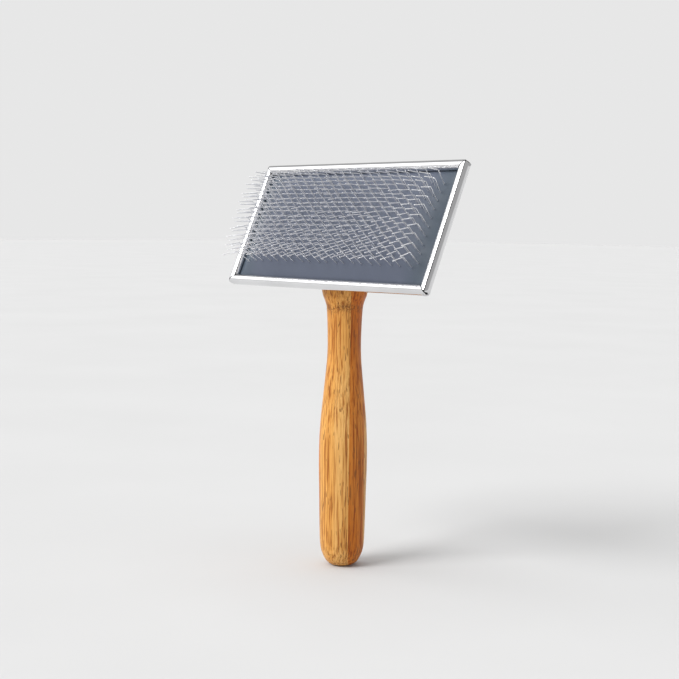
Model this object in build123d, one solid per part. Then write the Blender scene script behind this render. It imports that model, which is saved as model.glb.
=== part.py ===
from build123d import *
import math
import os

# Slicker brush for pet grooming: a turned bamboo handle, a rolled sheet-metal head screwed to it at an
# angle, and a pad of cloth and rubber on foam, pierced by kneed wire pins.
# Row frame, in millimetres: origin at the centre of the handle's butt end, +Z up the handle,
# pins facing -Y, +X across the head.

# Head, in its own frame: x across, v up the plate from its lower edge, n out of the plate to the pins.
HEAD_WIDTH = 120.0
HEAD_HEIGHT = 57.5
HEAD_ANGLE = 24.1
HEAD_BACK_Y = -11.7
HEAD_BACK_Z = 116.6

# Sheet metal of the head.
SHEET = 0.6
ROLL_RADIUS = 2.2
LIP_ANGLE = 4.0
CORNER_ROUND = 3.2
SEAM_GAP = 0.32

# Pad, from the plate outwards: foam, cloth, rubber. The edges are flat and lie under the rolled lip.
PAD_INSET = 2.4
PAD_FLAT = 2.2
FOAM_EDGE = 0.2
CLOTH = 0.5
RUBBER = 0.5
DOME = 5.4

# Wire pins: U-shaped staples in staggered rows, every leg bent forward to the handle at a knee.
WIRE_RADIUS = 0.2
BEND_RADIUS = 0.55
ROWS = 20
STAPLES_PER_ROW = 10
ROW_PITCH = 1.87
FIELD_CENTRE_V = 28.5
STAPLE_WIDTH = 5.9
STAPLE_PITCH = 10.3
ROW_STAGGER = 2.6
CROWN_DEPTH = 0.35
LOWER_LEG = 7.35
UPPER_LEG = 7.05
LOWER_LEAN_BOTTOM = 10.5
LOWER_LEAN_TOP = 23.5
UPPER_LEAN_BOTTOM = -36.5
UPPER_LEAN_TOP = -20.5
END_SPLAY = 9.0

# Turned handle: radius against height above the butt end.
BUTT_FLAT_RADIUS = 3.0
HANDLE_PROFILE = [
    (BUTT_FLAT_RADIUS, 0.0),
    (5.11, 0.6),
    (6.65, 1.8),
    (7.98, 4.1),
    (8.85, 6.4),
    (9.35, 9.7),
    (9.6, 15.3),
    (9.78, 22.5),
    (9.95, 31.7),
    (10.2, 41.9),
    (10.15, 52.2),
    (9.72, 61.4),
    (8.82, 71.1),
    (7.97, 79.8),
    (7.32, 87.0),
    (7.08, 93.1),
    (7.18, 100.3),
    (7.42, 106.4),
    (7.78, 110.3),
    (8.45, 112.7),
    (9.28, 114.8),
    (9.75, 117.6),
    (9.85, 121.7),
    (9.5, 129.9),
    (9.0, 140.2),
    (8.49, 149.4),
]
HANDLE_TOP_Z = 154.5
HANDLE_TOP_RADIUS = 5.1

# Two screws hold the plate to the handle, under the pad.
SCREW_V = [19.0, 30.5]
SCREW_REACH = [9.5, 6.5]
SCREW_CORE_RADIUS = 1.3
SCREW_CREST_RADIUS = 1.75
SCREW_PITCH = 1.3
SCREW_HEAD_RADIUS = 3.3
SCREW_HEAD_HEIGHT = 1.9
PLATE_HOLE_RADIUS = 2.0
WASHER_RADIUS = 4.6
WASHER = 0.6
DRIVE_SLOT = 0.8
DRIVE_SLOT_DEPTH = 0.9
FOAM_POCKET_RADIUS = 5.0
FOAM_POCKET_TOP = 4.0

angle = math.radians(HEAD_ANGLE)
head_plane = Plane(
    origin=(0, HEAD_BACK_Y, HEAD_BACK_Z),
    x_dir=(1, 0, 0),
    z_dir=(0, -math.cos(angle), math.sin(angle)),
)
pad_half_x = HEAD_WIDTH / 2 - PAD_INSET
pad_half_v = HEAD_HEIGHT / 2 - PAD_INSET
cloth_edge_n = SHEET + FOAM_EDGE
field_half_x = (STAPLES_PER_ROW - 1) / 2 * STAPLE_PITCH


def in_head(shape):
    """Moves a shape from the head's own frame to the row frame."""
    return head_plane.location * shape


def blend(low, high, share):
    return low + (high - low) * share


def dome_height(x, v):
    """How far the pad stands above its clamped edge."""
    across = min(1.0, abs(x) / (pad_half_x - PAD_FLAT))
    up = min(1.0, abs(v - HEAD_HEIGHT / 2) / (pad_half_v - PAD_FLAT))
    return DOME * (1 - across**6) * (1 - up**2.5)


def make_handle():
    """Turned bamboo, cut off obliquely where the head's plate is seated."""
    top_r, top_z = HANDLE_PROFILE[-1]
    with BuildSketch(Plane.XZ) as section:
        with BuildLine():
            side = Spline(*HANDLE_PROFILE)
            shoulder = ThreePointArc(
                side @ 1,
                (blend(HANDLE_TOP_RADIUS, top_r, 0.72), blend(top_z, HANDLE_TOP_Z, 0.72)),
                (HANDLE_TOP_RADIUS, HANDLE_TOP_Z),
            )
            Polyline(shoulder @ 1, (0, HANDLE_TOP_Z), (0, 0), side @ 0)
        make_face()
    body = revolve(section.sketch, axis=Axis.Z)
    above_plate = in_head(Pos(0, 60, 30) * Box(200, 200, 60))
    body -= above_plate
    for v, reach in zip(SCREW_V, SCREW_REACH):
        pilot = Pos(0, v, -reach / 2) * Cylinder(SCREW_CORE_RADIUS, reach)
        body -= in_head(pilot)
    return body.solids().sort_by(SortBy.VOLUME)[-1]


def hem_profile():
    """Section of the rolled edge: u inwards from the head's outer edge, n out of the plate."""
    r = ROLL_RADIUS
    inner = r - SHEET
    middle = r - SHEET / 2
    end = math.radians(LIP_ANGLE)
    nose_angle = end - SHEET / 2 / middle
    with BuildSketch() as profile:
        with BuildLine():
            outside = ThreePointArc((r, 0), (0, r), (r + r * math.cos(end), r + r * math.sin(end)))
            nose = ThreePointArc(
                outside @ 1,
                (r + middle * math.cos(nose_angle), r + middle * math.sin(nose_angle)),
                (r + inner * math.cos(end), r + inner * math.sin(end)),
            )
            ThreePointArc(nose @ 1, (r - inner, r), (r, SHEET))
            Line((r, SHEET), (r, 0))
        make_face()
    return profile.sketch


def make_hem(length):
    """One rolled edge along x, centred, its outer edge at v = 0, cut to a mitre at both ends."""
    section = Plane(origin=(-length / 2, 0, 0), x_dir=(0, 1, 0), z_dir=(1, 0, 0)) * hem_profile()
    hem = extrude(section, amount=length, dir=(1, 0, 0))
    half = length / 2 - SEAM_GAP
    wedge = Polygon((-half, 0), (half, 0), (half - 10, 10), (-half + 10, 10), align=None)
    return hem & extrude(wedge, amount=2 * ROLL_RADIUS)


def make_shell():
    """Back plate with four rolled, mitred edges, pierced for the screws."""
    w, h, r = HEAD_WIDTH, HEAD_HEIGHT, ROLL_RADIUS
    plate = Pos(0, h / 2, SHEET / 2) * Box(w - 2 * r, h - 2 * r, SHEET)
    lower = make_hem(w)
    upper = Pos(0, h, 0) * Rot(0, 0, 180) * make_hem(w)
    left = Pos(-w / 2, h / 2, 0) * Rot(0, 0, -90) * make_hem(h)
    right = Pos(w / 2, h / 2, 0) * Rot(0, 0, 90) * make_hem(h)
    shell = plate + lower + upper + left + right
    outline = extrude(Pos(0, h / 2) * RectangleRounded(w, h, CORNER_ROUND), amount=2 * r)
    shell = shell & outline
    for v in SCREW_V:
        shell -= Pos(0, v, SHEET / 2) * Cylinder(PLATE_HOLE_RADIUS, 3 * SHEET)
    return in_head(shell).solids().sort_by(SortBy.VOLUME)[-1]


def domed_face(level):
    """Smooth sheet following the pad's dome, its flat edge at height level."""
    columns, steps = 61, 31
    grid = []
    for i in range(columns):
        x = blend(-pad_half_x, pad_half_x, i / (columns - 1))
        line = []
        for j in range(steps):
            v = HEAD_HEIGHT / 2 + blend(-pad_half_v, pad_half_v, j / (steps - 1))
            line.append(Vector(x, v, level + dome_height(x, v)))
        grid.append(line)
    return Face.make_surface_from_array_of_points(grid, tol=0.02, min_deg=3, max_deg=5)


def make_layer(level, thickness):
    """Sheet of even thickness over the dome, its underside at height level along the edge."""
    return in_head(Solid.extrude(domed_face(level + thickness), Vector(0, 0, -thickness)))


def make_foam():
    """Cushion between the plate and the cloth, hollowed over the two screw heads."""
    depth = cloth_edge_n + DOME + 5
    block = Solid.extrude(domed_face(cloth_edge_n), Vector(0, 0, -depth))
    slab = Pos(0, HEAD_HEIGHT / 2, SHEET + 10) * Box(2 * HEAD_WIDTH, 2 * HEAD_HEIGHT, 20)
    foam = block & slab
    for v in SCREW_V:
        pocket = FOAM_POCKET_TOP - SHEET
        foam -= Pos(0, v, SHEET + pocket / 2) * Cylinder(FOAM_POCKET_RADIUS, pocket)
    return in_head(foam).solids().sort_by(SortBy.VOLUME)[-1]


def make_washer(v):
    ring = Cylinder(WASHER_RADIUS, WASHER) - Cylinder(PLATE_HOLE_RADIUS, 2 * WASHER)
    return in_head(Pos(0, v, SHEET + WASHER / 2) * ring).solids()[0]


def make_screw(v, reach):
    """Pan-head wood screw, its axis square to the plate and its thread drawn as ring crests."""
    seat = SHEET + WASHER
    top = seat + SCREW_HEAD_HEIGHT
    crest, core = SCREW_CREST_RADIUS, SCREW_CORE_RADIUS
    outline = [(0, -reach), (core * 0.35, -reach + 0.6), (core, -reach + 2.0)]
    turns = int((reach - 3.0) / SCREW_PITCH)
    for turn in range(turns):
        foot = -reach + 2.0 + turn * SCREW_PITCH
        outline.append((core, foot + 0.35))
        outline.append((crest, foot + 0.75))
        outline.append((core, foot + 1.1))
    outline.append((core, seat))
    outline.append((SCREW_HEAD_RADIUS, seat))
    with BuildSketch(Plane.XZ) as section:
        with BuildLine():
            side = Polyline(*outline)
            Line(side @ 1, (SCREW_HEAD_RADIUS, seat + 0.6))
            ThreePointArc((SCREW_HEAD_RADIUS, seat + 0.6), (SCREW_HEAD_RADIUS * 0.78, top - 0.35), (1.6, top))
            Polyline((1.6, top), (0, top), (0, -reach))
        make_face()
    screw = revolve(section.sketch, axis=Axis.Z)
    slot = Pos(0, 0, top - DRIVE_SLOT_DEPTH / 2 + 0.5)
    cross = Box(3.8, DRIVE_SLOT, DRIVE_SLOT_DEPTH + 1) + Box(DRIVE_SLOT, 3.8, DRIVE_SLOT_DEPTH + 1)
    screw -= slot * cross
    return in_head(Pos(0, v, 0) * screw).solids().sort_by(SortBy.VOLUME)[-1]


def make_staple(lower_lean, upper_lean):
    """One U of wire, its crown along x at the origin, both legs kneed in the v-n plane."""
    low = math.radians(lower_lean)
    high = math.radians(upper_lean)
    buried = CROWN_DEPTH + CLOTH + RUBBER
    knee = (LOWER_LEG + buried) * math.sin(low), (LOWER_LEG + buried) * math.cos(low)
    tip = knee[0] + UPPER_LEG * math.sin(high), knee[1] + UPPER_LEG * math.cos(high)
    half = STAPLE_WIDTH / 2
    path = FilletPolyline(
        (-half, *tip),
        (-half, *knee),
        (-half, 0, 0),
        (half, 0, 0),
        (half, *knee),
        (half, *tip),
        radius=BEND_RADIUS,
    )
    start = Plane(origin=path @ 0, z_dir=path % 0)
    return sweep(start * Circle(WIRE_RADIUS), path=path).solids()[0]


def make_row(row):
    """One row of staples, leaning as its place on the dome sets it."""
    share = row / (ROWS - 1)
    v = FIELD_CENTRE_V + (row - (ROWS - 1) / 2) * ROW_PITCH
    lower_lean = blend(LOWER_LEAN_BOTTOM, LOWER_LEAN_TOP, share)
    upper_lean = blend(UPPER_LEAN_BOTTOM, UPPER_LEAN_TOP, share)
    staple = make_staple(lower_lean, upper_lean)
    shift = ROW_STAGGER / 2 * (1 if row % 2 else -1)
    placed = []
    for i in range(STAPLES_PER_ROW):
        x = shift + (i - (STAPLES_PER_ROW - 1) / 2) * STAPLE_PITCH
        n = cloth_edge_n + dome_height(x, v) - CROWN_DEPTH
        splay = END_SPLAY * math.copysign((abs(x) / field_half_x) ** 3, x)
        placed.append(in_head(Pos(x, v, n) * Rot(0, splay, 0) * staple))
    return Compound(children=placed)


os.makedirs("parts", exist_ok=True)
export_step(make_handle(), "parts/handle.step")
export_step(make_shell(), "parts/head_shell.step")
export_step(make_foam(), "parts/foam_cushion.step")
export_step(make_layer(cloth_edge_n, CLOTH), "parts/cloth_backing.step")
export_step(make_layer(cloth_edge_n + CLOTH, RUBBER), "parts/rubber_face.step")
for number, (v, reach) in enumerate(zip(SCREW_V, SCREW_REACH), start=1):
    export_step(make_screw(v, reach), f"parts/screw_{number}.step")
    export_step(make_washer(v), f"parts/washer_{number}.step")
for row in range(ROWS):
    export_step(make_row(row), f"parts/staple_row_{row + 1:02d}.step")
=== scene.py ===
import math
import random

import bmesh
import bpy
from mathutils import Matrix, Vector, noise


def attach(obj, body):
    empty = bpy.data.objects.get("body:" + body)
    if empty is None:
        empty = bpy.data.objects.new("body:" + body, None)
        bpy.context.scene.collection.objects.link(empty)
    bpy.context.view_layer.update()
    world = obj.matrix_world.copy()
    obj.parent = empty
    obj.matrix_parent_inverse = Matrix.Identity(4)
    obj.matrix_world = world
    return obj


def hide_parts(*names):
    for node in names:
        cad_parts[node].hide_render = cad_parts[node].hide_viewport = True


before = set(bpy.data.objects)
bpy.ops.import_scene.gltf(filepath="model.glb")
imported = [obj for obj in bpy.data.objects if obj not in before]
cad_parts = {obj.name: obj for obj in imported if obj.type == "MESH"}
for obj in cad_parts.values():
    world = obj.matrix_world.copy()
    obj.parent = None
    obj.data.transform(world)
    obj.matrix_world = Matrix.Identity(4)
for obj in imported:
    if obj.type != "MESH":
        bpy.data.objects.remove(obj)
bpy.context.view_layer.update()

BODY = "brush"
MM = 0.001

# ---------------------------------------------------------------- the head's own frame, as in the CAD model
HEAD_ANGLE = math.radians(24.1)
HEAD_BACK = Vector((0, -11.7, 116.6))
HEAD_X = Vector((1, 0, 0))
HEAD_V = Vector((0, math.sin(HEAD_ANGLE), math.cos(HEAD_ANGLE)))
HEAD_N = Vector((0, -math.cos(HEAD_ANGLE), math.sin(HEAD_ANGLE)))
HEAD_W, HEAD_H = 120.0, 57.5
LIP_REACH = 4.4  # how far the rolled edge reaches in over the pad
PAD_INSET, PAD_FLAT = 2.4, 2.2
PAD_HALF_X, PAD_HALF_V = HEAD_W / 2 - PAD_INSET, HEAD_H / 2 - PAD_INSET
DOME = 5.4
CLOTH_N = 0.8
RUBBER_TOP_N = 1.8
RUBBER_THICK = 0.47


def at_head(x, v, n):
    """A point of the head's frame, given in millimetres, in the row frame in metres."""
    return (HEAD_BACK + HEAD_X * x + HEAD_V * v + HEAD_N * n) * MM


def mix(low, high, share):
    return low + (high - low) * share


def dome_height(x, v):
    """How far the pad stands above its clamped edge."""
    across = min(1.0, abs(x) / (PAD_HALF_X - PAD_FLAT))
    up = min(1.0, abs(v - HEAD_H / 2) / (PAD_HALF_V - PAD_FLAT))
    return DOME * (1 - across**6) * (1 - up**2.5)


def new_piece(name, points, faces, material):
    mesh = bpy.data.meshes.new(name)
    mesh.from_pydata([tuple(p) for p in points], [], faces)
    mesh.materials.append(material)
    mesh.polygons.foreach_set("use_smooth", [True] * len(mesh.polygons))
    mesh.update()
    piece = bpy.data.objects.new(name, mesh)
    bpy.context.scene.collection.objects.link(piece)
    return piece


# ---------------------------------------------------------------- camera
CAMERA_AT = Vector((418.4, -399.6, 144.3)) * MM
CAMERA_YAW, CAMERA_PITCH, CAMERA_ROLL = math.radians(46.52), math.radians(4.77), math.radians(0.69)
CAMERA_LENS = 73.17


def make_camera():
    data = bpy.data.cameras.new("camera")
    data.sensor_width = 36.0
    data.lens = CAMERA_LENS
    data.clip_start = 0.01
    data.clip_end = 50.0
    camera = bpy.data.objects.new("camera", data)
    bpy.context.scene.collection.objects.link(camera)
    level = Vector((math.cos(CAMERA_YAW), math.sin(CAMERA_YAW), 0))
    ahead = Vector((-math.sin(CAMERA_YAW), math.cos(CAMERA_YAW), 0))
    ahead = ahead * math.cos(CAMERA_PITCH) - Vector((0, 0, 1)) * math.sin(CAMERA_PITCH)
    upright = level.cross(ahead)
    right = level * math.cos(CAMERA_ROLL) + upright * math.sin(CAMERA_ROLL)
    up = upright * math.cos(CAMERA_ROLL) - level * math.sin(CAMERA_ROLL)
    turn = Matrix((right, up, -ahead)).transposed().to_4x4()
    camera.matrix_world = Matrix.Translation(CAMERA_AT) @ turn
    bpy.context.scene.camera = camera


# ---------------------------------------------------------------- node helpers
def start_material(name):
    material = bpy.data.materials.new(name)
    material.use_nodes = True
    tree = material.node_tree
    tree.nodes.clear()
    out = tree.nodes.new("ShaderNodeOutputMaterial")
    shader = tree.nodes.new("ShaderNodeBsdfPrincipled")
    tree.links.new(shader.outputs["BSDF"], out.inputs["Surface"])
    return material, tree, shader


def coords(tree, scale):
    """Object coordinates, in metres, stretched by scale."""
    place = tree.nodes.new("ShaderNodeTexCoord")
    mapping = tree.nodes.new("ShaderNodeMapping")
    mapping.inputs["Scale"].default_value = scale
    tree.links.new(place.outputs["Object"], mapping.inputs["Vector"])
    return mapping.outputs["Vector"]


def split_coords(tree):
    """X, Y and Z of the object coordinates, as sockets."""
    split = tree.nodes.new("ShaderNodeSeparateXYZ")
    tree.links.new(coords(tree, (1, 1, 1)), split.inputs["Vector"])
    return split.outputs["X"], split.outputs["Y"], split.outputs["Z"]


def noise_of(tree, vector, scale, detail=3.0, rough=0.5, distortion=0.0):
    node = tree.nodes.new("ShaderNodeTexNoise")
    node.inputs["Scale"].default_value = scale
    node.inputs["Detail"].default_value = detail
    node.inputs["Roughness"].default_value = rough
    node.inputs["Distortion"].default_value = distortion
    tree.links.new(vector, node.inputs["Vector"])
    return node.outputs["Fac"]


def ramp(tree, value, stops):
    """Colour ramp from (position, colour) stops."""
    node = tree.nodes.new("ShaderNodeValToRGB")
    elements = node.color_ramp.elements
    while len(elements) < len(stops):
        elements.new(0.5)
    for element, (position, colour) in zip(elements, stops):
        element.position = position
        element.color = (*colour, 1)
    tree.links.new(value, node.inputs["Fac"])
    return node.outputs["Color"]


def grey_ramp(tree, value, stops):
    return ramp(tree, value, [(p, (g, g, g)) for p, g in stops])


def map_range(tree, value, source, target):
    """Smooth step from one range of values to another."""
    node = tree.nodes.new("ShaderNodeMapRange")
    node.interpolation_type = "SMOOTHSTEP"
    node.inputs["From Min"].default_value, node.inputs["From Max"].default_value = source
    node.inputs["To Min"].default_value, node.inputs["To Max"].default_value = target
    tree.links.new(value, node.inputs["Value"])
    return node.outputs["Result"]


def maths(tree, operation, a, b=None, clamp=False):
    node = tree.nodes.new("ShaderNodeMath")
    node.operation = operation
    node.use_clamp = clamp
    for socket, value in zip(node.inputs, (a, b)):
        if value is None:
            continue
        if isinstance(value, (int, float)):
            socket.default_value = value
        else:
            tree.links.new(value, socket)
    return node.outputs["Value"]


def mix_colour(tree, factor, a, b, kind="MIX"):
    node = tree.nodes.new("ShaderNodeMix")
    node.data_type = "RGBA"
    node.blend_type = kind
    for socket, value in ((node.inputs[0], factor), (node.inputs[6], a), (node.inputs[7], b)):
        if isinstance(value, (int, float)):
            socket.default_value = value
        elif isinstance(value, tuple):
            socket.default_value = (*value, 1)
        else:
            tree.links.new(value, socket)
    return node.outputs[2]


def bump(tree, shader, height, strength, distance):
    node = tree.nodes.new("ShaderNodeBump")
    node.inputs["Strength"].default_value = strength
    node.inputs["Distance"].default_value = distance
    tree.links.new(height, node.inputs["Height"])
    tree.links.new(node.outputs["Normal"], shader.inputs["Normal"])


# ---------------------------------------------------------------- materials
# Bamboo, in metres: width of the laminated strips, where one seam lies, and the growth node at the collar.
STRIP_WIDTH, STRIP_SEAM = 0.0062, 0.0029
NODE_Z, NODE_HALF_HEIGHT, NODE_WANDER = 0.1128, 0.0023, 0.007
# Painted shade: heights, in metres, over which the handle is darkened towards the head.
TOP_SHADE_FROM, TOP_SHADE_TO = 0.066, 0.110


def bamboo_ground(tree, x, y):
    """Colour of the strips, each of its own depth of tone, with soft clouds along them."""
    across = maths(tree, "ADD", maths(tree, "MULTIPLY", x, 0.72), maths(tree, "MULTIPLY", y, 0.69))
    from_seam = maths(tree, "SUBTRACT", across, STRIP_SEAM)
    strip = maths(tree, "FLOOR", maths(tree, "DIVIDE", from_seam, STRIP_WIDTH))
    turn = maths(tree, "COSINE", maths(tree, "MULTIPLY", strip, 2.2))
    deepness = maths(tree, "ADD", maths(tree, "MULTIPLY", turn, 0.42), 0.42)
    cloudy = maths(tree, "MULTIPLY", noise_of(tree, coords(tree, (1, 1, 0.15)), 160, 3, 0.6), 0.45)
    return ramp(tree, maths(tree, "ADD", deepness, maths(tree, "SUBTRACT", cloudy, 0.16)), [
        (0.0, (0.80, 0.50, 0.20)),
        (0.35, (0.72, 0.37, 0.095)),
        (1.0, (0.57, 0.17, 0.012)),
    ])


def bamboo_node_ring(tree, z):
    """Strength of the dark broken marks round the growth node."""
    wander = maths(tree, "MULTIPLY", noise_of(tree, coords(tree, (1, 1, 1)), 95, 2, 0.5), NODE_WANDER)
    height = maths(tree, "ADD", z, wander)
    offset = maths(tree, "DIVIDE", maths(tree, "SUBTRACT", height, NODE_Z), NODE_HALF_HEIGHT)
    band = maths(tree, "SUBTRACT", 1, maths(tree, "MULTIPLY", offset, offset), True)
    speckle = noise_of(tree, coords(tree, (1, 1, 0.6)), 1300, 2, 0.6, 1.5)
    marks = grey_ramp(tree, speckle, [(0.50, 0), (0.56, 1)])
    return maths(tree, "MULTIPLY", band, maths(tree, "ADD", maths(tree, "MULTIPLY", marks, 0.78), 0.08))


def make_bamboo():
    """Lacquered laminated bamboo: strips of several tones, long fibres, dark flecks and a growth node;
    painted shade darkens it towards the top, under the head.
    """
    material, tree, shader = start_material("bamboo_lacquered")
    x, y, z = split_coords(tree)
    ground = bamboo_ground(tree, x, y)
    fibres = noise_of(tree, coords(tree, (1, 1, 0.022)), 1250, 3, 0.6)
    fibre_tone = ramp(tree, fibres, [
        (0.36, (0.44, 0.25, 0.11)),
        (0.46, (0.84, 0.74, 0.60)),
        (0.55, (1.0, 1.0, 1.0)),
        (0.72, (1.10, 1.13, 1.16)),
    ])
    streaked = mix_colour(tree, 0.9, ground, fibre_tone, "MULTIPLY")
    fine = noise_of(tree, coords(tree, (1, 1, 0.03)), 4200, 2, 0.6)
    fine_tone = ramp(tree, fine, [(0.3, (0.80, 0.74, 0.66)), (0.65, (1.05, 1.05, 1.05))])
    fibrous = mix_colour(tree, 0.8, streaked, fine_tone, "MULTIPLY")
    fleck_field = noise_of(tree, coords(tree, (1, 1, 0.13)), 1600, 1, 0.4)
    fleck_patch = noise_of(tree, coords(tree, (1, 1, 0.3)), 190, 2, 0.5)
    fleck_sum = maths(tree, "ADD", fleck_field, maths(tree, "MULTIPLY", fleck_patch, 0.30))
    flecks = grey_ramp(tree, fleck_sum, [(0.79, 0), (0.83, 1)])
    flecked = mix_colour(tree, maths(tree, "MULTIPLY", flecks, 0.7), fibrous, (0.20, 0.070, 0.014))
    node_ring = bamboo_node_ring(tree, z)
    # Painted shade under the head: the colour grows darker and deeper in tone towards the top.
    painted_top_shade = map_range(tree, z, (TOP_SHADE_FROM, TOP_SHADE_TO), (0.0, 0.55))
    top_shaded = mix_colour(tree, painted_top_shade, flecked, (0.86, 0.66, 0.36), "MULTIPLY")
    ringed = mix_colour(tree, node_ring, top_shaded, (0.15, 0.05, 0.010))
    tree.links.new(ringed, shader.inputs["Base Color"])
    tree.links.new(grey_ramp(tree, fibres, [(0.3, 0.50), (0.7, 0.38)]), shader.inputs["Roughness"])
    shader.inputs["Specular IOR Level"].default_value = 0.2
    shader.inputs["Coat Weight"].default_value = 0.10
    shader.inputs["Coat Roughness"].default_value = 0.2
    grain = maths(tree, "ADD", fibres, maths(tree, "MULTIPLY", fine, 0.4))
    relief = maths(tree, "SUBTRACT", grain, maths(tree, "MULTIPLY", flecks, 0.6))
    bump(tree, shader, relief, 0.25, 0.0002)
    return material


def make_chrome():
    """Bright plated sheet metal, very slightly wavy from the rolling, with fine handling marks."""
    material, tree, shader = start_material("plated_sheet")
    shader.inputs["Metallic"].default_value = 1.0
    tone = ramp(tree, noise_of(tree, coords(tree, (1, 1, 1)), 45, 3, 0.5), [
        (0.35, (0.71, 0.71, 0.72)),
        (0.65, (0.79, 0.79, 0.80)),
    ])
    tree.links.new(tone, shader.inputs["Base Color"])
    haze = noise_of(tree, coords(tree, (1, 1, 1)), 260, 4, 0.6)
    marks = noise_of(tree, coords(tree, (0.05, 1, 1)), 3500, 2, 0.5)
    smear = maths(tree, "ADD", maths(tree, "MULTIPLY", haze, 0.7), maths(tree, "MULTIPLY", marks, 0.3))
    tree.links.new(grey_ramp(tree, smear, [(0.35, 0.05), (0.7, 0.14)]), shader.inputs["Roughness"])
    waves = noise_of(tree, coords(tree, (1, 1, 1)), 70, 1, 0.4)
    relief = maths(tree, "ADD", waves, maths(tree, "MULTIPLY", marks, 0.03))
    bump(tree, shader, relief, 0.12, 0.0008)
    return material


def make_rubber():
    """Smooth blue-grey rubber with a fine moulded grain; a painted sheen makes it a little paler among the
    pins, and painted shade darkens it along the rolled rim.
    """
    material, tree, shader = start_material("rubber_blue_grey")
    cloud = noise_of(tree, coords(tree, (1, 1, 1)), 38, 4, 0.55)
    tone = ramp(tree, cloud, [(0.3, (0.048, 0.066, 0.090)), (0.7, (0.062, 0.083, 0.111))])
    # Painted sheen: the rubber is paler among the pins, fading out towards the ends of the pad.
    from_middle = maths(tree, "ABSOLUTE", split_coords(tree)[0])
    painted_sheen = map_range(tree, from_middle, (0.041, 0.054), (0.5, 0.0))
    tone = mix_colour(tree, painted_sheen, tone, (0.130, 0.140, 0.195))
    specks = noise_of(tree, coords(tree, (1, 1, 1)), 5200, 2, 0.5)
    dust = grey_ramp(tree, specks, [(0.66, 0), (0.76, 0.35)])
    dusty = mix_colour(tree, dust, tone, (0.30, 0.33, 0.36))
    # Painted shade: the 'clamped' attribute darkens the rubber next to the rolled rim.
    clamped = tree.nodes.new("ShaderNodeAttribute")
    clamped.attribute_name = "clamped"
    shade = maths(tree, "MULTIPLY", clamped.outputs["Fac"], 0.5)
    tree.links.new(mix_colour(tree, shade, dusty, (0.010, 0.013, 0.018)), shader.inputs["Base Color"])
    fine = noise_of(tree, coords(tree, (1, 1, 1)), 2600, 3, 0.6)
    patch = noise_of(tree, coords(tree, (1, 1, 1)), 130, 3, 0.5)
    tree.links.new(grey_ramp(tree, patch, [(0.3, 0.42), (0.7, 0.54)]), shader.inputs["Roughness"])
    shader.inputs["Specular IOR Level"].default_value = 0.3
    bump(tree, shader, fine, 0.12, 0.0001)
    return material


def make_wire():
    """Bright drawn steel wire with faint draw lines and a little tarnish, darkened by painted shade stored
    in the 'depth' attribute.
    """
    material, tree, shader = start_material("drawn_wire")
    shader.inputs["Metallic"].default_value = 0.68
    tarnish = noise_of(tree, coords(tree, (1, 1, 1)), 420, 3, 0.5)
    tone = ramp(tree, tarnish, [(0.3, (0.90, 0.90, 0.94)), (0.65, (1.0, 1.0, 1.0))])
    # Painted shade: the 'depth' attribute darkens each wire towards its foot and along its upper leg.
    depth = tree.nodes.new("ShaderNodeAttribute")
    depth.attribute_name = "depth"
    shaded = mix_colour(tree, depth.outputs["Fac"], tone, (0.27, 0.28, 0.33))
    tree.links.new(shaded, shader.inputs["Base Color"])
    lines = noise_of(tree, coords(tree, (1, 0.15, 0.15)), 9000, 2, 0.5)
    tree.links.new(grey_ramp(tree, lines, [(0.3, 0.30), (0.7, 0.42)]), shader.inputs["Roughness"])
    bump(tree, shader, lines, 0.08, 0.00004)
    return material


def make_foam():
    """Grey foam with a cell pattern, seen only at a cut edge."""
    material, tree, shader = start_material("cell_foam")
    cells = tree.nodes.new("ShaderNodeTexVoronoi")
    cells.inputs["Scale"].default_value = 1800
    tree.links.new(coords(tree, (1, 1, 1)), cells.inputs["Vector"])
    tone = ramp(tree, cells.outputs["Distance"], [(0.1, (0.30, 0.30, 0.285)), (0.6, (0.62, 0.62, 0.60))])
    tree.links.new(tone, shader.inputs["Base Color"])
    shader.inputs["Roughness"].default_value = 0.95
    bump(tree, shader, cells.outputs["Distance"], 0.6, 0.0003)
    return material


def make_cloth():
    """Dark plain-weave backing."""
    material, tree, shader = start_material("woven_backing")
    warp = tree.nodes.new("ShaderNodeTexWave")
    warp.inputs["Scale"].default_value = 420
    tree.links.new(coords(tree, (1, 0, 0)), warp.inputs["Vector"])
    weft = tree.nodes.new("ShaderNodeTexWave")
    weft.bands_direction = "Z"
    weft.inputs["Scale"].default_value = 420
    tree.links.new(coords(tree, (0, 0, 1)), weft.inputs["Vector"])
    weave = maths(tree, "MULTIPLY", warp.outputs["Fac"], weft.outputs["Fac"])
    tone = ramp(tree, weave, [(0.0, (0.13, 0.135, 0.145)), (1.0, (0.34, 0.35, 0.37))])
    tree.links.new(tone, shader.inputs["Base Color"])
    shader.inputs["Roughness"].default_value = 0.9
    bump(tree, shader, weave, 0.6, 0.0003)
    return material


def make_zinc():
    """Zinc-plated steel of the screws and washers."""
    material, tree, shader = start_material("zinc_screw")
    shader.inputs["Metallic"].default_value = 1.0
    spangle = noise_of(tree, coords(tree, (1, 1, 1)), 900, 3, 0.6)
    tone = ramp(tree, spangle, [(0.3, (0.50, 0.51, 0.53)), (0.7, (0.68, 0.69, 0.71))])
    tree.links.new(tone, shader.inputs["Base Color"])
    tree.links.new(grey_ramp(tree, spangle, [(0.3, 0.28), (0.7, 0.45)]), shader.inputs["Roughness"])
    bump(tree, shader, spangle, 0.1, 0.0001)
    return material


def make_floor_material():
    material, tree, shader = start_material("pale_floor")
    tone = ramp(tree, noise_of(tree, coords(tree, (1, 1, 1)), 6, 3, 0.5), [
        (0.3, (0.585, 0.585, 0.585)),
        (0.7, (0.605, 0.605, 0.605)),
    ])
    tree.links.new(tone, shader.inputs["Base Color"])
    shader.inputs["Roughness"].default_value = 0.8
    return material


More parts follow.
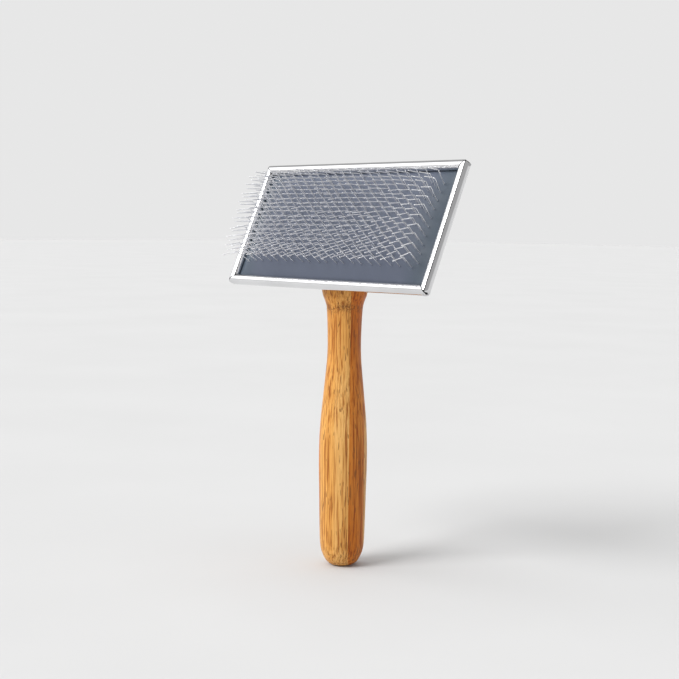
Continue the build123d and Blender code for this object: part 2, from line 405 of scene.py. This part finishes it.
# ---------------------------------------------------------------- handle
HANDLE_PROFILE = [
    (3.0, 0.0), (5.11, 0.6), (6.65, 1.8), (7.98, 4.1), (8.85, 6.4), (9.35, 9.7), (9.6, 15.3), (9.78, 22.5),
    (9.95, 31.7), (10.2, 41.9), (10.15, 52.2), (9.72, 61.4), (8.82, 71.1), (7.97, 79.8), (7.32, 87.0),
    (7.08, 93.1), (7.18, 100.3), (7.42, 106.4), (7.78, 110.3), (8.45, 112.7), (9.28, 114.8), (9.75, 117.6),
    (9.85, 121.7), (9.5, 129.9), (9.0, 140.2), (8.49, 149.4), (8.15, 151.9), (7.2, 153.7), (5.1, 154.5),
]
HANDLE_TOP_Z = 154.5
HANDLE_SIDES = 144
RING_STEP = 0.8


def handle_radius(z):
    """Smooth curve through the profile."""
    points = HANDLE_PROFILE
    for i in range(len(points) - 1):
        (r0, z0), (r1, z1) = points[i], points[i + 1]
        if z <= z1:
            before = points[max(i - 1, 0)]
            after = points[min(i + 2, len(points) - 1)]
            slope0 = (r1 - before[0]) / (z1 - before[1])
            slope1 = (after[0] - r0) / (after[1] - z0)
            t = (z - z0) / (z1 - z0)
            gap = z1 - z0
            return (
                (2 * t**3 - 3 * t**2 + 1) * r0
                + (t**3 - 2 * t**2 + t) * gap * slope0
                + (3 * t**2 - 2 * t**3) * r1
                + (t**3 - t**2) * gap * slope1
            )
    return points[-1][0]


def make_handle(material):
    """Turned handle with shallow fibre grooves and the growth node, cut off where the plate is seated."""
    around = HANDLE_SIDES
    heights = [0, 0.12, 0.3, 0.55, 0.85, 1.2, 1.7, 2.3, 3.0, 3.8]
    heights += [4.6 + RING_STEP * i for i in range(int((HANDLE_TOP_Z - 3 - 4.6) / RING_STEP))]
    heights += [HANDLE_TOP_Z - d for d in (2.6, 1.8, 1.2, 0.7, 0.3, 0.1, 0)]
    points = []
    for z in heights:
        r = handle_radius(z)
        for k in range(around):
            a = math.tau * k / around
            groove = noise.noise(Vector((math.cos(a) * 22, math.sin(a) * 22, z * 0.035)))
            ring = math.exp(-(((z - 110.1) / 0.7) ** 2)) * (0.5 + 0.5 * math.sin(5 * a + 1.3))
            radius = r - 0.035 - 0.03 * groove - 0.07 * ring
            points.append(Vector((radius * math.cos(a), radius * math.sin(a), z)) * MM)
    faces = []
    for i in range(len(heights) - 1):
        for k in range(around):
            a, b = i * around + k, i * around + (k + 1) % around
            faces.append((a, b, b + around, a + around))
    faces.append(tuple(reversed(range(around))))
    faces.append(tuple((len(heights) - 1) * around + k for k in range(around)))
    piece = new_piece("handle_turned", points, faces, material)
    mesh = bmesh.new()
    mesh.from_mesh(piece.data)
    cut = bmesh.ops.bisect_plane(
        mesh,
        geom=mesh.verts[:] + mesh.edges[:] + mesh.faces[:],
        plane_co=at_head(0, 0, 0),
        plane_no=HEAD_N,
        clear_outer=True,
    )
    rim = [e for e in cut["geom_cut"] if isinstance(e, bmesh.types.BMEdge)]
    bmesh.ops.holes_fill(mesh, edges=rim, sides=0)
    mesh.to_mesh(piece.data)
    mesh.free()
    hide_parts("handle")
    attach(piece, BODY)


# ---------------------------------------------------------------- pins
ROWS, STAPLES, ROW_PITCH, FIELD_V = 20, 10, 1.87, 28.5
STAPLE_WIDTH, STAPLE_PITCH, STAGGER = 5.9, 10.3, 2.6
CROWN_DEPTH, BURIED = 0.35, 1.35
FIELD_HALF_X = (STAPLES - 1) / 2 * STAPLE_PITCH
LOWER_LEG, UPPER_LEG, WIRE_R, BEND_R = 7.35, 7.05, 0.2, 0.55
LOWER_LEAN, UPPER_LEAN, END_SPLAY = (10.5, 23.5), (-36.5, -20.5), 9


def rounded_path(corners, radius, steps=5):
    """The polyline's corners replaced by short arcs, as bent wire has."""
    path = [corners[0]]
    for before, corner, after in zip(corners, corners[1:], corners[2:]):
        a, b = (before - corner).normalized(), (after - corner).normalized()
        half = a.angle(b) / 2
        reach = radius / math.tan(half)
        start, end = corner + a * reach, corner + b * reach
        for k in range(steps):
            t = k / (steps - 1)
            path.append(start * (1 - t) ** 2 + corner * 2 * t * (1 - t) + end * t**2)
    path.append(corners[-1])
    return path


def tube(path, radius, sides=10):
    """Points and faces of a wire along path, its ends rounded off."""
    first, last = (path[0] - path[1]).normalized(), (path[-1] - path[-2]).normalized()
    rings = [(path[0], 0.35), (path[0] - first * radius * 0.25, 0.8)]
    rings += [(path[0] - first * radius * 0.7, 1.0)]
    rings += [(p, 1.0) for p in path[1:-1]]
    rings += [(path[-1] - last * radius * 0.7, 1.0)]
    rings += [(path[-1] - last * radius * 0.25, 0.8), (path[-1], 0.35)]
    centres = [c for c, _ in rings]
    points, side = [], None
    for i, (centre, share) in enumerate(rings):
        ahead = centres[min(i + 1, len(rings) - 1)] - centres[max(i - 1, 0)]
        ahead.normalize()
        if side is None:
            side = ahead.orthogonal().normalized()
        side = (side - ahead * side.dot(ahead)).normalized()
        other = ahead.cross(side)
        for k in range(sides):
            a = math.tau * k / sides
            points.append(centre + (side * math.cos(a) + other * math.sin(a)) * radius * share)
    faces = []
    for i in range(len(rings) - 1):
        for k in range(sides):
            a, b = i * sides + k, i * sides + (k + 1) % sides
            faces.append((a, b, b + sides, a + sides))
    faces.append(tuple(reversed(range(sides))))
    faces.append(tuple((len(rings) - 1) * sides + k for k in range(sides)))
    return points, faces


def pin_places():
    """Row, x and v of every staple's middle."""
    for row in range(ROWS):
        v = FIELD_V + (row - (ROWS - 1) / 2) * ROW_PITCH
        shift = STAGGER / 2 * (1 if row % 2 else -1)
        for i in range(STAPLES):
            yield row, shift + (i - (STAPLES - 1) / 2) * STAPLE_PITCH, v


def painted_wire_shade(height, lean, outer):
    """Painted shade of a wire at a height over the rubber: none at the knee, most at the foot, less
    outwards; above the knee it darkens the upper leg, so that the knee reads as a painted highlight.
    """
    knee = LOWER_LEG * math.cos(math.radians(lean))
    if height < knee:
        return mix(0.72, 0.28, outer) * (1 - max(height, 0) / knee)
    return mix(0.40, 0.05, outer) * min((height - knee) / 1.5, 1)


def make_pins(material):
    """One piece per row; every wire is bent a little differently, as they are on the real pad."""
    chance = random.Random(7)
    rows = {}
    for row, x, v in pin_places():
        share = row / (ROWS - 1)
        low0, high0 = mix(*LOWER_LEAN, share), mix(*UPPER_LEAN, share)
        end_splay = math.radians(END_SPLAY * math.copysign((abs(x) / FIELD_HALF_X) ** 3, x))
        base_n = CLOTH_N + dome_height(x, v) - CROWN_DEPTH
        legs = []
        for side in (-1, 1):
            low = math.radians(low0 + chance.gauss(0, 0.9))
            high = math.radians(high0 + chance.gauss(0, 1.8))
            splay = end_splay + math.radians(chance.gauss(0, 0.7))
            turn = end_splay + math.radians(chance.gauss(0, 1.6))
            lower = (LOWER_LEG + BURIED) * (1 - abs(chance.gauss(0, 0.008)))
            upper = UPPER_LEG * (1 - abs(chance.gauss(0, 0.014)))
            reach = side * STAPLE_WIDTH / 2
            foot = Vector((x + reach * math.cos(end_splay), v, base_n - reach * math.sin(end_splay)))
            knee = foot + Vector((math.sin(splay), math.sin(low), math.cos(low))) * lower
            tip = knee + Vector((math.sin(turn), math.sin(high), math.cos(high))) * upper
            legs.append((foot, knee, tip))
        (foot_a, knee_a, tip_a), (foot_b, knee_b, tip_b) = legs
        corners = [at_head(*p) / MM for p in (tip_a, knee_a, foot_a, foot_b, knee_b, tip_b)]
        points, faces = tube(rounded_path(corners, BEND_R), WIRE_R)
        all_points, all_faces, painted_shades = rows.setdefault(row, ([], [], []))
        start = len(all_points)
        all_points.extend(p * MM for p in points)
        # Painted shade for every point of the wire, stored as the 'depth' attribute.
        level = RUBBER_TOP_N + dome_height(x, v)
        outer = (abs(x) / FIELD_HALF_X) ** 4
        painted_shades.extend(painted_wire_shade((p - HEAD_BACK).dot(HEAD_N) - level, low0, outer) for p in points)
        all_faces.extend(tuple(start + k for k in face) for face in faces)
    for row, (points, faces, painted_shades) in rows.items():
        piece = new_piece(f"pins_row_{row + 1:02d}", points, faces, material)
        piece.data.attributes.new("depth", "FLOAT", "POINT").data.foreach_set("value", painted_shades)
        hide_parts(f"staple_row_{row + 1:02d}")
        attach(piece, BODY)


# ---------------------------------------------------------------- rubber pad
def mark_painted_rim_shade(piece, columns, lines):
    """Stores how near each point is to the rolled rim, as the strength of the painted shade that darkens
    the rubber there.
    """
    inner, reach = LIP_REACH - PAD_INSET, 1.3
    marks = []
    for _ in range(2):
        for i in range(columns + 1):
            for j in range(lines + 1):
                from_side = 2 * PAD_HALF_X * min(i, columns - i) / columns
                from_end = 2 * PAD_HALF_V * min(j, lines - j) / lines
                gap = (min(from_side, from_end) - inner) / reach
                marks.append((1 - min(max(gap, 0.0), 1.0)) ** 2)
    layer = piece.data.attributes.new("clamped", "FLOAT", "POINT")
    layer.data.foreach_set("value", marks)


PUCKER_REACH = 1.2
RIM_HEIGHT, RIM_SIZE = 0.10, 0.55
DIMPLE_DEPTH, DIMPLE_SIZE = 0.16, 0.3


def make_pad(material):
    """Domed rubber face, drawn in a little round every wire and pressed down under the rolled rim."""
    columns, lines = 420, 172
    feet = {}
    for row, x, v in pin_places():
        share = row / (ROWS - 1)
        rise = math.tan(math.radians(mix(*LOWER_LEAN, share))) * BURIED
        for side in (-1, 1):
            foot = (x + side * STAPLE_WIDTH / 2, v + rise)
            feet.setdefault((round(foot[0] / 2), round(foot[1] / 2)), []).append(foot)

    def pucker(x, v):
        """Dimple with a slightly raised ring, where a wire goes through."""
        depth = 0.0
        cell = (round(x / 2), round(v / 2))
        for i in (-1, 0, 1):
            for j in (-1, 0, 1):
                for foot in feet.get((cell[0] + i, cell[1] + j), ()):
                    gap = math.hypot(x - foot[0], v - foot[1])
                    if gap < PUCKER_REACH:
                        depth += RIM_HEIGHT * math.exp(-((gap / RIM_SIZE) ** 2) * 0.9)
                        depth -= DIMPLE_DEPTH * math.exp(-((gap / DIMPLE_SIZE) ** 2))
        return depth

    points = []
    for top in (True, False):
        for i in range(columns + 1):
            x = mix(-PAD_HALF_X, PAD_HALF_X, i / columns)
            for j in range(lines + 1):
                v = HEAD_H / 2 + mix(-PAD_HALF_V, PAD_HALF_V, j / lines)
                dome = dome_height(x, v)
                if top:
                    n = RUBBER_TOP_N + dome - 0.02
                    if dome > 0.15:
                        n += pucker(x, v) + 0.05 * noise.noise(Vector((x * 0.12, v * 0.12, 3.0)))
                else:
                    n = RUBBER_TOP_N - RUBBER_THICK + dome
                points.append(at_head(x, v, n))
    side = lines + 1
    under = (columns + 1) * side
    faces = []
    for i in range(columns):
        for j in range(lines):
            a = i * side + j
            faces.append((a, a + side, a + side + 1, a + 1))
            faces.append((under + a, under + a + 1, under + a + side + 1, under + a + side))
    for i in range(columns):
        a, b = i * side, i * side + lines
        faces.append((a, under + a, under + a + side, a + side))
        faces.append((b, b + side, under + b + side, under + b))
    for j in range(lines):
        a, b = j, columns * side + j
        faces.append((a, a + 1, under + a + 1, under + a))
        faces.append((b, under + b, under + b + 1, b + 1))
    piece = new_piece("rubber_pad", points, faces, material)
    mark_painted_rim_shade(piece, columns, lines)
    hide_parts("rubber_face")
    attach(piece, BODY)


# ---------------------------------------------------------------- CAD nodes that keep their shape
def dress_nodes(chrome, foam, cloth, zinc):
    finishes = {"head_shell": chrome, "foam_cushion": foam, "cloth_backing": cloth}
    finishes.update({name: zinc for name in ("screw_1", "screw_2", "washer_1", "washer_2")})
    for name, material in finishes.items():
        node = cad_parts[name]
        for slot in node.material_slots:
            slot.material = material


# ---------------------------------------------------------------- room
def add_sun(name, toward, strength, spread):
    data = bpy.data.lights.new(name, "SUN")
    data.energy = strength
    data.angle = math.radians(spread)
    lamp = bpy.data.objects.new(name, data)
    bpy.context.scene.collection.objects.link(lamp)
    lamp.rotation_euler = Vector(toward).to_track_quat("Z", "Y").to_euler()


def make_room():
    corners = [(-9, -9, 0), (9, -9, 0), (9, 9, 0), (-9, 9, 0)]
    floor = new_piece("floor", corners, [(0, 1, 2, 3)], make_floor_material())
    make_world()
    add_sun("key", (-0.16, -0.754, 0.657), 2.5, 32)
    add_sun("top", (-0.10, 0.05, 1.0), 0.9, 50)


HORIZON = 0.80
OVERHEAD = 0.45
SOFTBOX_TOWARD, SOFTBOX = (-0.75, -0.45, 0.50), 2.0
FLAG_TOWARD, FLAG = (0.35, -0.85, 0.38), 0.20


def make_world():
    """Even pale horizon; higher up a softbox and a darker flag, for the plated rim to mirror."""
    world = bpy.data.worlds.new("studio")
    bpy.context.scene.world = world
    world.use_nodes = True
    tree = world.node_tree
    sky = tree.nodes["Background"]
    sky.inputs["Color"].default_value = (1, 1, 1, 1)
    place = tree.nodes.new("ShaderNodeTexCoord")
    split = tree.nodes.new("ShaderNodeSeparateXYZ")
    tree.links.new(place.outputs["Generated"], split.inputs["Vector"])

    def near(direction, rim, core):
        """From 0 outside the cone around direction to 1 in its core, both given as cosines."""
        toward = tree.nodes.new("ShaderNodeVectorMath")
        toward.operation = "DOT_PRODUCT"
        toward.inputs[1].default_value = Vector(direction).normalized()
        tree.links.new(place.outputs["Generated"], toward.inputs[0])
        return map_range(tree, toward.outputs["Value"], (rim, core), (0.0, 1.0))

    def blend(share, low, high):
        node = tree.nodes.new("ShaderNodeMix")
        tree.links.new(share, node.inputs[0])
        for socket, value in ((node.inputs[2], low), (node.inputs[3], high)):
            if isinstance(value, (int, float)):
                socket.default_value = value
            else:
                tree.links.new(value, socket)
        return node.outputs[0]

    flagged = blend(near(FLAG_TOWARD, 0.90, 0.97), OVERHEAD, FLAG)
    overhead = blend(near(SOFTBOX_TOWARD, 0.86, 0.97), flagged, SOFTBOX)
    height = map_range(tree, split.outputs["Z"], (0.16, 0.30), (0.0, 1.0))
    tree.links.new(blend(height, HORIZON, overhead), sky.inputs["Strength"])


def main():
    view = bpy.context.scene.view_settings
    view.view_transform = "Standard"
    make_camera()
    make_room()
    dress_nodes(make_chrome(), make_foam(), make_cloth(), make_zinc())
    make_handle(make_bamboo())
    make_pins(make_wire())
    make_pad(make_rubber())


main()
